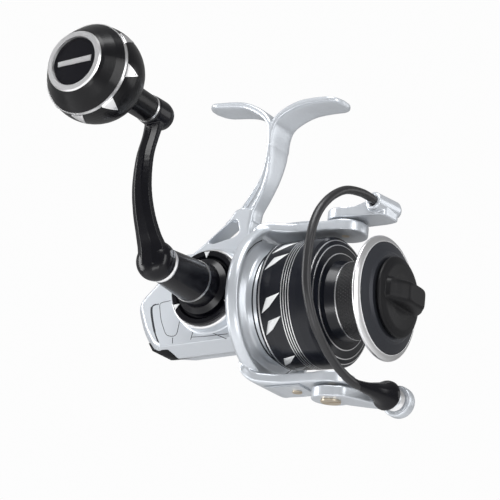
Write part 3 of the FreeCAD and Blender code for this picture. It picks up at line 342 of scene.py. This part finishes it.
def stem():
    """The stem below the foot: thin plate at the top, waisted and channelled lower down."""
    stations = [(16.6, 13.4, 7.15, 0.0, 76.0), (16.5, 13.9, 7.0, 0.0, 70.0),
                (16.6, 14.1, 6.5, 0.04, 63.0), (15.4, 11.9, 5.2, 0.16, 54.5),
                (12.9, 7.0, 4.3, 0.42, 47.0), (9.8, 1.6, 4.0, 0.5, 40.4),
                (9.3, -4.0, 4.0, 0.3, 36.0)]
    rings = []
    for front, back, half, deep, up in curve5(stations, 6):
        ring = []
        for a, b in oval(1.0, 1.0, 48, 6.0):
            dent = 1.0 - deep * math.exp(-(a / 0.5) ** 4)
            ring.append(((front + back) / 2 + a * (front - back) / 2, b * half * dent, up))
        rings.append(ring)
    return loft("stem", rings, SILVER)


def curve5(stations, count):
    """Smooth steps between stations of five numbers each."""
    low = curve([station[:3] for station in stations], count)
    high = curve([station[2:] for station in stations], count)
    return [(a[0], a[1], a[2], b[1], b[2]) for a, b in zip(low, high)]


def housing():
    back, drop = 14.0, 85.5
    rear = [(-30.6, 1.2), (-25.0, 0.55), (-18.0, 0.0), (-12.0, -1.1), (-6.0, -3.9),
            (-1.5, -7.4), (1.0, -12.0), (1.6, -18.0)]
    fore = [(31.6, -3.6), (28.0, -3.15), (21.0, -2.9), (14.0, -3.4), (8.0, -5.5), (3.6, -8.6),
            (1.9, -13.0), (1.7, -19.0)]
    pieces = [foot_arm("rear arm", [(x + back, z + drop, 0) for x, z in rear],
                       lambda t: 1.0 + 0.5 * math.sin(math.pi * t)),
              foot_arm("fore arm", [(x + back, z + drop, 0) for x, z in fore],
                       lambda t: 0.95 + 0.6 * math.sin(math.pi * t)),
              stem()]
    strut = [(-24.0, 14.0), (-22.5, 20.5), (-20.0, 22.4), (-12.4, 28.2), (-2.0, 36.6), (1.0, 41.5),
             (9.7, 41.5), (8.6, 33.0), (10.0, 26.0), (14.0, 17.0)]
    rings = []
    for level, deep in ((-4.2, 0.9), (-3.6, 0.2), (-2.6, 0.0), (2.6, 0.0), (3.6, 0.2), (4.2, 0.9)):
        rings.append([(x, level, z) for x, z in inset(soften(strut, 1.5), deep)])
    base = loft("strut", rings, SILVER)
    window = soften([(-10.8, 28.3), (0.2, 36.6), (2.6, 36.8), (4.2, 31.4), (2.2, 29.6),
                     (-8.4, 27.4)], 1.2)
    cutter = plate("window", window, -9.0, 9.0, SILVER)
    cut(base, cutter)
    pieces.append(base)

    def slope(x, z):
        return 3.4 if x < -24 else 1.6

    outline = soften(CASE, 3.0)
    rings = [[(x, level, z) for x, z in inset(outline, deep)] for level, deep in
             ((-12.0, slope), (-11.4, lambda x, z: slope(x, z) * 0.72), (-8.4, 0.0),
              (8.2, 0.0), (9.3, 0.5), (9.4, 1.4))]
    case = loft("case", rings, SILVER)
    ridge = [(-20.0, 4.0), (-2.0, 0.05), (20.0, 7.2), (20.0, -9.0), (-20.0, -9.0)]

    def keel(deep):
        return loft("keel", [[(x, y, z + level + deep) for y, z in ridge]
                             for x, level in ((-40.0, -19.56), (20.0, -16.67))], SILVER)

    def case_core(deep):
        core = loft("core", [[(x, level, z) for x, z in inset(CASE, deep)]
                             for level in (-20.0, 20.0)], PLASTIC)
        cut(core, keel(deep))
        return core

    cut(case, keel(0.0))
    block = [(-33.4, -25.6), (-19.5, -25.6), (-20.5, -13.6), (-33.4, -13.6)]
    corner = plate("corner", block, -9.3, 8.2, SILVER)
    cut(corner, case_core(0.9))
    cut(case, corner)
    shoe = plate("rear_bumper_pad", [(x + (0.12 if x < -30 else -0.12), z) for x, z in block],
                 -9.18, 8.08, PLASTIC)
    cut(shoe, case_core(0.02), "INTERSECT")
    cut(shoe, case_core(0.9))
    finished(shoe, "body", "black_plastic", "rear_bumper")
    pieces.append(case)
    pieces.append(lathe("boss", "Y", soften([(-17.0, 0.0), (-17.0, 15.2), (-16.4, 15.9),
                                             (-12.5, 16.2), (-11.0, 18.0), (-8.0, 18.0),
                                             (-8.0, 0.0)], 0.4), SILVER,
                        TO_ROW @ Matrix.Translation((0, 0, RISE))))
    pieces.append(lathe("nose", "X", [(8.0, 0.0), (8.0, 12.4), (24.3, 12.4), (24.3, 0.0)],
                        SILVER))
    body = fused("housing_shell", pieces, 0.3, 5, SILVER)
    finished(body, "body", "silver_paint", "housing")
    seams = [[(-19.6, 2.4), (-24.9, 1.8), (-23.2, -5.3), (-20.1, -11.6), (-17.6, -12.5),
              (-14.9, -12.3), (-14.2, -6.6)],
             [(-16.6, -13.0), (-16.4, -15.4)], [(-7.4, -11.4), (-8.0, -14.4)],
             [(-7.9, -13.4), (0.0, -13.5), (9.0, -13.2)], [(-1.0, -11.2), (8.6, -15.2)]]
    for index, line in enumerate(seams):
        path = [(x, -11.98, z) for x, z in soften(line, 1.6, 3, closed=False)]
        seam = tube("case_seam_%d" % (index + 1), [Vector(p) for p in path],
                    oval(0.13, 0.13, 8), FACE, side=Vector((0, 1, 0)))
        finished(seam, "body", "grey_face")
    # Painted shade: a thin flat dark strip on the near face, not cut into it, darkens the line of
    # the deep groove along the rear edge; it is widest in the middle of its run and narrows at the
    # ends.
    rim = curve([(-25.0, 1.4), (-27.6, 1.0), (-28.3, -1.0), (-26.6, -7.2), (-24.3, -12.6),
                 (-21.9, -16.0)], 5)
    widths = [0.25, 0.35, 0.55, 0.5, 0.35, 0.12]
    groove_shade_strip = tube("case_groove_painted_shade", [Vector((p[0], -11.98, p[1])) for p in rim],
                  oval(0.16, 1.0, 12), FACE, side=Vector((0, 1, 0)),
                  scale=lambda t: widths[min(5, round(t * 5))])
    finished(groove_shade_strip, "body", "grey_face")


def cut(thing, tool, operation="DIFFERENCE"):
    """Take the tool's volume away from a piece, or with INTERSECT keep only what they share."""
    knife = thing.modifiers.new("cut", "BOOLEAN")
    knife.operation = operation
    knife.solver = "EXACT"
    knife.object = tool
    applied(thing)
    bpy.data.objects.remove(tool)


# --------------------------------------------------------------------------------- rotor

def rotor():
    """Rim, drum and the two arms, as one cast piece."""
    ring = soften([(26.4, 3.2), (28.4, 3.2), (28.4, 15.0), (27.2, 15.4), (27.2, 21.0),
                   (22.6, 22.3), (20.6, 25.2), (20.4, 27.0), (21.5, 28.7), (23.6, 29.4),
                   (23.8, 30.6), (22.6, 31.3), (19.6, 31.3), (17.6, 29.6), (17.3, 27.0),
                   (18.4, 23.0), (20.4, 20.8), (25.4, 19.4), (25.4, 15.6), (18.4, 15.4),
                   (18.4, 13.6), (26.4, 13.6)], 0.6)
    pieces = [lathe("ring", "X", ring, SILVER)]
    paths = {1: [(18.8, 24.5), (19.6, 27.4), (22.6, 28.9), (28.0, 28.95), (36.0, 28.85),
                 (44.0, 28.8), (50.6, 28.8)],
             -1: [(18.8, 24.5), (19.6, 28.4), (22.6, 31.0), (28.0, 31.4), (36.0, 31.4),
                  (44.0, 31.4), (50.6, 31.4)]}
    for way in (1, -1):
        rings = []
        path = curve(paths[way], 6)
        for i, here in enumerate(path):
            ahead = path[min(i + 1, len(path) - 1)] - path[max(i - 1, 0)]
            angle = math.atan2(ahead[1], ahead[0])
            wide = 8.6 + 7.2 * max(0.0, (34.0 - here[0]) / 15.2) ** 1.6
            rings.append([(here[0] - math.sin(angle) * a, b, way * (here[1] + math.cos(angle) * a))
                          for a, b in oval(2.15, min(wide, 15.2), 40, 7.0)])
        pieces.append(loft("arm", rings, SILVER))
        low = path[-1][1] - 2.15
        eye = soften([(low, 0.0), (low, 8.6), (low + 4.3, 8.6), (low + 4.3, 0.0)], 0.5,
                     closed=False)
        eye = [(way * along, radius) for along, radius in eye]
        pieces.append(lathe("eye", "Z", eye, SILVER, TO_ROW @ Matrix.Translation((50.6, 0, 0))))
    shape = fused("rotor_frame", pieces, 0.3, 5, SILVER)
    finished(shape, "rotor", "silver_paint", "rotor")
    for name, along, radius in (("rotor_rim_seam", 20.42, 26.6), ("rotor_drum_seam", 25.0, 21.72)):
        seam = lathe(name, "X", [(along - 0.3, radius - 0.25), (along - 0.3, radius + 0.25),
                                 (along + 0.12, radius + 0.2), (along + 0.12, radius - 0.2)], FACE)
        finished(seam, "rotor", "grey_face")


# ------------------------------------------------------------------------- crank and hub

def crank_arm():
    """The bowed arm with long facets, its faceted base block and the round boss at its tip."""
    stations = [(0.0, -53.0, -3.0, 4.6, 6.4), (0.0, -54.0, 3.5, 4.9, 6.1),
                (0.0, -57.6, 9.0, 4.0, 5.1),
                (0.0, -61.3, 16.5, 3.3, 4.5), (0.0, -63.4, 26.0, 2.9, 4.1),
                (0.0, -62.6, 38.0, 2.8, 3.7), (0.0, -59.2, 48.5, 2.9, 3.6),
                (0.0, -56.6, 57.0, 4.0, 4.2)]
    rings = []
    for across, side, up, deep, wide in curve5(stations, 5):
        rings.append([(across + a * wide, side + b * deep, up)
                      for a, b in (((math.cos(t), math.sin(t))) for t in
                                   (math.radians(22.5 + 45 * k) for k in range(8)))])
    arm = loft("arm", rings, BLACK, CRANK)
    block = lathe("block", "Y", soften([(-48.2, 0.0), (-48.2, 7.3), (-52.4, 8.0), (-55.6, 6.6),
                                        (-57.4, 3.4), (-57.4, 0.0)], 1.6), BLACK, CRANK, 60)
    boss = lathe("boss", "Y", soften([(-62.3, 0.0), (-62.3, 5.7), (-54.5, 5.9), (-51.2, 4.9),
                                      (-50.6, 0.0)], 1.2), BLACK, KNOB)
    arm = fused("crank_arm_cast", [arm, block, boss], 0.2, 3, BLACK)
    finished(arm, "crank", "black_gloss", "crank_arm")


def bezel_marks():
    """Three small pale triangles on the bezel and the bright line round it."""
    spot = TO_ROW @ Matrix.Translation((0, 0, RISE))
    for k in range(3):
        turn = spot @ Matrix.Rotation(math.radians(-120 * k), 4, "Y")
        mark = plate("bezel_mark_%d" % (k + 1), [(-1.2, 14.5), (1.2, 14.5), (0.0, 11.9)],
                     -18.95, -18.7, MARK, to=turn)
        finished(mark, "body", "bright_metal")
    line = lathe("bezel_line", "Y", soften([(-17.3, 15.0), (-17.3, 15.7), (-16.7, 16.1),
                                            (-16.0, 16.1), (-16.0, 15.0)], 0.15), BRIGHT, spot)
    finished(line, "body", "bright_metal")


# ------------------------------------------------------------------------------------ bail

def bail_plate(name, corners, low, high, top):
    """A bail arm's flat part with its round eye, rounded at the rims; top is the eye's level."""
    flat = plate(name, soften(corners, 2.0), low, high, SILVER, 0.5, plane="XY")
    ends = (low, top) if low > 0 else (top, high)
    eye = lathe("eye", "Z", soften([(ends[0], 0.0), (ends[0], 7.6), (ends[1], 7.6),
                                    (ends[1], 0.0)], 0.5),
                SILVER, TO_ROW @ Matrix.Translation((50.6, 0, 0)))
    return [flat, eye]


def bail():
    pieces = bail_plate("wire plate", [(50.0, -7.3), (58.0, -6.2), (64.0, -6.0), (69.8, -4.6),
                                       (70.6, 5.2), (66.0, 6.6), (54.6, 7.2)], 32.05, 39.3, 36.1)
    rise = plate("above", [(40.0, 36.1), (57.0, 36.1), (66.0, 39.4), (66.0, 46.0), (40.0, 46.0)],
                 -9.0, 9.0, SILVER)
    cut(pieces[0], rise)
    turn = (TO_ROW @ Matrix.Translation((69.8, 0, 0)) @ Matrix.Rotation(math.radians(-7.8), 4, "Z")
            @ Matrix.Rotation(math.radians(-4.3), 4, "Y"))
    socket = lathe("socket", "Y", [(-8.6, 0.0), (-8.6, 3.0), (-8.0, 3.6), (4.6, 3.8), (6.2, 3.0),
                                   (6.6, 0.0)], SILVER,
                   turn @ Matrix.Translation((0, 0, 37.0)))
    arm = fused("wire_arm_cast", pieces + [socket], 0.22, 4, SILVER)
    cut(arm, lathe("bore", "Y", [(-12.0, 0.0), (-12.0, 2.3), (-4.0, 2.3), (-4.0, 0.0)], PLASTIC,
                   turn @ Matrix.Translation((0, 0, 37.0)), 48))
    finished(arm, "bail", "silver_paint", "wire_arm")
    pieces = bail_plate("roller plate", [(49.0, -7.3), (58.0, -5.6), (64.0, 4.0), (66.4, 11.4),
                                         (70.0, 12.6), (75.6, 12.6), (76.6, 15.4), (75.0, 17.8),
                                         (67.0, 17.8), (60.0, 13.0), (53.0, 7.2)], -38.8, -34.65,
                        -38.8)
    spot = TO_ROW @ Matrix.Translation((71.6, 0, -36.6))
    boss = lathe("boss", "Y", soften([(12.2, 0.0), (12.2, 6.1), (16.4, 6.1), (18.1, 4.4),
                                      (18.1, 0.0)], 0.9), SILVER, spot)
    arm = fused("roller_arm_cast", pieces + [boss], 0.22, 5, SILVER)
    finished(arm, "bail", "silver_paint", "roller_arm")
    pin = lathe("roller_pin", "Y", [(3.2, 0.0), (3.2, 1.28), (13.0, 1.28), (13.0, 0.0)], STEEL,
                spot, 48)
    finished(pin, "bail", "steel")
    sweep = [(67.2, 1.5, 37.0), (66.9, -4.0, 37.05), (66.6, -10.0, 37.0), (66.0, -17.0, 36.9),
             (64.9, -26.0, 34.9), (63.9, -33.6, 30.1), (63.1, -39.6, 23.5), (62.7, -43.0, 16.4),
             (62.6, -44.6, 8.6), (62.5, -44.9, 0.5), (62.7, -44.1, -7.5), (63.1, -41.6, -14.0),
             (63.9, -37.4, -21.3), (65.2, -30.2, -28.6), (66.4, -22.2, -33.6),
             (67.8, -15.0, -36.4), (69.4, -9.8, -37.2), (70.9, -6.4, -37.0), (71.6, -3.4, -36.7)]
    wire = tube("bail_wire_bent", curve(sweep, 6), oval(1.7, 1.62, 28), WIRE,
                side=Vector((1, 0, 0)))
    finished(wire, "bail", "wire_metal", "bail_wire")
    flow = curve([(66.4, -22.2, -33.6), (67.8, -15.0, -36.3), (69.6, -9.2, -37.0),
                  (71.0, -4.2, -36.9), (71.5, 0.6, -36.7), (71.6, 3.4, -36.6),
                  (71.6, 5.8, -36.6)], 6)
    swell = [(0.0, 0.96), (0.25, 1.02), (0.45, 1.5), (0.62, 2.25), (0.78, 3.0), (0.88, 3.42),
             (0.95, 3.5), (1.0, 3.3)]

    def flare(t):
        for (t0, size0), (t1, size1) in zip(swell, swell[1:]):
            if t <= t1:
                return size0 + (size1 - size0) * (t - t0) / (t1 - t0)
        return swell[-1][1]

    horn = tube("guide_horn", flow, oval(1.66, 1.66, 32), BLACK, side=Vector((1, 0, 0)),
                scale=flare)
    finished(horn, "bail", "black_gloss", "line_guide_cone")


# ----------------------------------------------------------------------------------- spool

def band_line(name, profile):
    finished(lathe(name, "X", profile, BRIGHT), "spool", "bright_metal")


def spool_marks():
    """The rounded lip, turned bright lines on the skirt and face, and pairs of pale blades."""
    lip = soften([(68.45, 21.42), (69.1, 23.2), (69.9, 23.98), (70.6, 23.8), (71.4, 22.7),
                  (71.98, 21.42)], 0.35)
    finished(lathe("spool_lip_ring", "X", lip, BRIGHT), "spool", "bright_metal", "spool_lip")
    for index, (along, radius) in enumerate(((29.3, 24.62), (39.4, 25.1), (40.5, 25.15),
                                             (41.6, 25.2), (42.7, 25.2))):
        wide = 0.55 if index == 0 else 0.32
        band_line("skirt_line_%d" % (index + 1),
                  [(along, radius - 0.3), (along, radius + 0.06), (along + wide, radius + 0.08),
                   (along + wide, radius - 0.3)])
    for index, (along, radius) in enumerate(((50.95, 23.7), (51.6, 21.8), (52.35, 18.5),
                                             (57.5, 14.9))):
        band_line("front_line_%d" % (index + 1),
                  [(along - 0.5, radius - 0.18), (along + 0.1, radius - 0.18),
                   (along - 0.02, radius + 0.18), (along - 0.5, radius + 0.18)])
    points, faces = [], []
    blade = [(39.0, 0.0), (33.2, -3.6), (30.7, -16.6), (34.4, -11.2)]
    for pair in range(6):
        for shift in (0.0, -20.0):
            steps = 6
            start = len(points)
            for k in range(steps + 1):
                t = k / steps
                rows = []
                for near, far in ((blade[0], blade[1]), (blade[3], blade[2])):
                    rows.append((near[0] + (far[0] - near[0]) * t,
                                 near[1] + (far[1] - near[1]) * t))
                for j in range(5):
                    s = j / 4
                    x = rows[0][0] + (rows[1][0] - rows[0][0]) * s
                    turn = math.radians(rows[0][1] + (rows[1][1] - rows[0][1]) * s
                                        - 7.0 + shift + 60 * pair)
                    radius = 24.9 + (x - 34.0) * 0.055 if x < 34 else 24.94 + (x - 34) * 0.028
                    points.append((x, -(radius + 0.1) * math.cos(turn),
                                   (radius + 0.1) * math.sin(turn)))
            for k in range(steps):
                for j in range(4):
                    a = start + k * 5 + j
                    faces.append((a, a + 1, a + 6, a + 5))
    blades = mesh("skirt_blades", points, faces, MARK)
    thick = blades.modifiers.new("thick", "SOLIDIFY")
    thick.thickness = 0.00016
    thick.offset = 0.0
    applied(blades)
    finished(blades, "spool", "bright_metal")


def knurl():
    """Small diamond studs on the arbor band."""
    points, faces = [], []
    rows, around = 9, 72
    for row in range(rows):
        for k in range(around):
            turn = 2 * math.pi * (k + 0.5 * (row % 2)) / around
            along = 58.6 + row * 0.98
            first = len(points)
            for da, dt, radius in ((-0.45, 0, 14.75), (0, 0.032, 14.75), (0.45, 0, 14.75),
                                   (0, -0.032, 14.75), (0, 0, 15.05)):
                angle = turn + dt
                points.append((along + da, radius * math.cos(angle), radius * math.sin(angle)))
            faces += [(first + a, first + b, first + 4)
                      for a, b in ((0, 1), (1, 2), (2, 3), (3, 0))]
            faces.append((first, first + 3, first + 2, first + 1))
    finished(mesh("arbor_knurl", points, faces, RUBBER, sharp=10.0), "spool", "rubber_band")


def drag_knob():
    """Round skirt and a tapered, rounded bar across the front."""
    skirt = soften([(75.1, 8.7), (75.1, 15.3), (76.0, 15.6), (76.7, 15.0), (77.7, 12.6),
                    (78.3, 8.6), (78.3, 0.0), (76.9, 0.0), (76.9, 8.7)], 0.4)
    pieces = [lathe("skirt", "X", skirt, PLASTIC)]
    rings = []
    for along, reach, half in ((76.2, 13.0, 5.4), (77.6, 12.8, 5.0), (79.2, 12.2, 4.7),
                               (80.8, 10.6, 4.55), (82.4, 8.4, 4.4), (83.6, 6.9, 4.2),
                               (84.2, 6.1, 3.8), (84.5, 5.2, 3.2)):
        rings.append([(along, a, b) for a, b in oval(reach, half, 48, 5.0)])
    pieces.append(loft("bar", rings, PLASTIC))
    knob = fused("drag_knob_moulded", pieces, 0.25, 4, PLASTIC)
    finished(knob, "drag_knob", "black_plastic", "drag_knob")


def handle_knob():
    """The bright bar on the knob's cap."""
    bar = plate("knob_bar", [(-7.3, -1.0), (7.3, -1.2), (7.5, 1.1), (-7.4, 1.0)], -110.35, -109.9,
                BRIGHT, 0.05, to=KNOB)
    finished(bar, "handle_knob", "bright_metal")


# ---------------------------------------------------------------------- light and camera

LAMP_AIM = (0, 0, -0.08)
FLOOR_LEVEL = -0.62
WHITE = (1, 1, 1, 1)


def camera():
    """Seen from the handle side and below, at the photograph's angle."""
    azimuth, elevation, roll = math.radians(33.8), math.radians(-18.03), math.radians(5.94)
    back = Vector((math.sin(azimuth) * math.cos(elevation),
                   -math.cos(azimuth) * math.cos(elevation), math.sin(elevation)))
    across = Vector((math.cos(azimuth), math.sin(azimuth), 0))
    up = back.cross(across)
    distance, aim_across, aim_up = 926.9, 6.0, 25.0
    spot = back * distance + across * aim_across + up * aim_up + Vector(AXIS)
    right = across * math.cos(roll) + up * math.sin(roll)
    above = up * math.cos(roll) - across * math.sin(roll)
    turn = Matrix((right, above, back)).transposed()
    data = bpy.data.cameras.new("camera")
    data.lens = 170.2
    data.sensor_width = 36.0
    data.clip_start = 0.01
    made = bpy.data.objects.new("camera", data)
    bpy.context.scene.collection.objects.link(made)
    made.matrix_world = Matrix.Translation(spot * 0.001) @ turn.to_4x4()
    bpy.context.scene.camera = made


def lamp(name, spot, size, power):
    data = bpy.data.lights.new(name, "AREA")
    data.shape = "RECTANGLE"
    data.size, data.size_y = size
    data.energy = power
    made = bpy.data.objects.new(name, data)
    bpy.context.scene.collection.objects.link(made)
    made.location = spot
    made.rotation_euler = (Vector(LAMP_AIM) - Vector(spot)).to_track_quat("-Z", "Y").to_euler()


def stage():
    """A pale floor far below, pale surroundings and soft lamps."""
    bpy.ops.mesh.primitive_plane_add(size=12.0, location=(0, 0, FLOOR_LEVEL))
    floor = bpy.context.object
    floor.name = "floor"
    pale = material("pale_floor", (0.9, 0.9, 0.9), rough=0.9)
    floor.data.materials.append(pale)
    world = bpy.data.worlds.new("studio")
    bpy.context.scene.world = world
    world.use_nodes = True
    nodes, links = world.node_tree.nodes, world.node_tree.links
    fill = nodes["Background"]
    fill.inputs["Color"].default_value = WHITE
    fill.inputs["Strength"].default_value = 0.36
    pale_sky = nodes.new("ShaderNodeBackground")
    pale_sky.inputs["Color"].default_value = WHITE
    pale_sky.inputs["Strength"].default_value = 0.98
    dark_sky = nodes.new("ShaderNodeBackground")
    dark_sky.inputs["Color"].default_value = WHITE
    dark_sky.inputs["Strength"].default_value = 0.3
    seen = nodes.new("ShaderNodeLightPath")
    gloss = nodes.new("ShaderNodeMixShader")
    links.new(seen.outputs["Is Glossy Ray"], gloss.inputs[0])
    links.new(fill.outputs[0], gloss.inputs[1])
    links.new(dark_sky.outputs[0], gloss.inputs[2])
    mix = nodes.new("ShaderNodeMixShader")
    links.new(seen.outputs["Is Camera Ray"], mix.inputs[0])
    links.new(gloss.outputs[0], mix.inputs[1])
    links.new(pale_sky.outputs[0], mix.inputs[2])
    links.new(mix.outputs[0], nodes["World Output"].inputs["Surface"])
    lamp("key", (0.1, -0.45, 0.7), (0.6, 0.6), 8.5)
    lamp("side", (-0.8, -0.4, 0.0), (0.35, 0.9), 7.5)
    lamp("front", (0.9, -0.35, -0.05), (0.3, 0.9), 4.0)
    lamp("below", (0.1, -0.6, -0.58), (0.5, 0.25), 1.9)
    lamp("far", (0.75, 0.55, 0.1), (0.5, 0.5), 1.5)


housing()
rotor()
crank_arm()
bezel_marks()
bail()
spool_marks()
knurl()
drag_knob()
handle_knob()
camera()
stage()
bpy.context.scene.view_settings.view_transform = "Standard"
